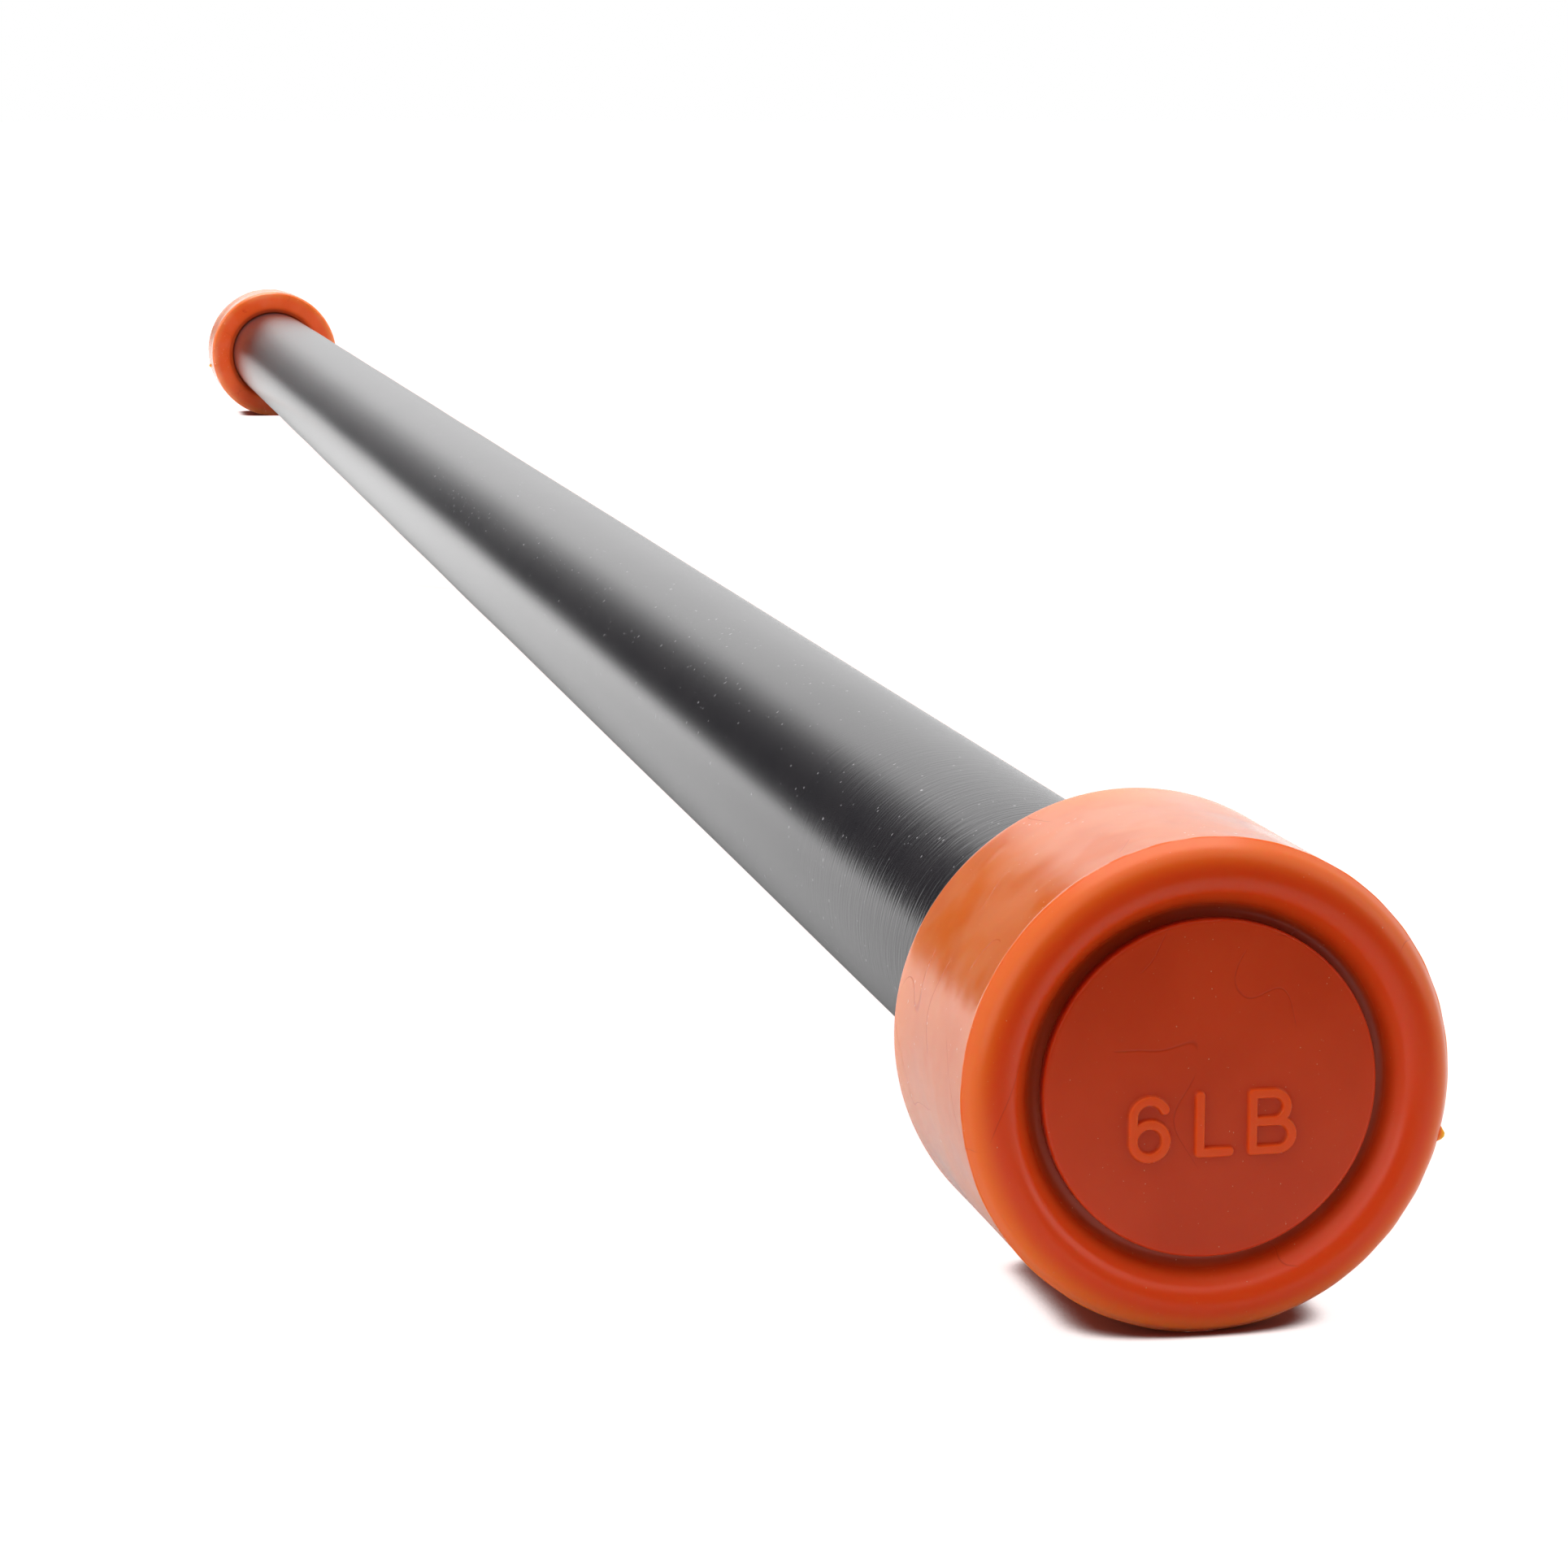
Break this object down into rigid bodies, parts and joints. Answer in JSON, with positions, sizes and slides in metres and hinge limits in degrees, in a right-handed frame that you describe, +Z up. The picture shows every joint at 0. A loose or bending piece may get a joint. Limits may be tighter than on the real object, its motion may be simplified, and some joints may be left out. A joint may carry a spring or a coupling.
{
  "type": "weighted exercise bar",
  "caption": "Straight weighted exercise bar: foam-covered steel tube with a rounded soft orange cap glued over each end.",
  "frame": {"origin": "centre of the bar, on its axis, halfway between the two rims", "axes": "+X along the bar towards the right-hand cap, +Z up, +Y to the right of someone looking at the right-hand cap's end"},
  "size_m": [1.22, 0.0464, 0.0466],
  "materials": {
    "tube_steel": "bare drawn steel",
    "iron_grit": "packed dark grit",
    "plug_plastic": "moulded polyethylene",
    "black_foam": "smooth satin skin with fine rings around it",
    "orange_vinyl": "soft satin vinyl, slightly translucent"
  },
  "bodies": {
    "root": {"core_tube": "tube_steel", "ballast_fill": "iron_grit", "tube_plug_left": "plug_plastic", "tube_plug_right": "plug_plastic", "foam_sleeve": "black_foam", "end_cap_left": "orange_vinyl", "end_cap_right": "orange_vinyl"}
  },
  "joints": []
}
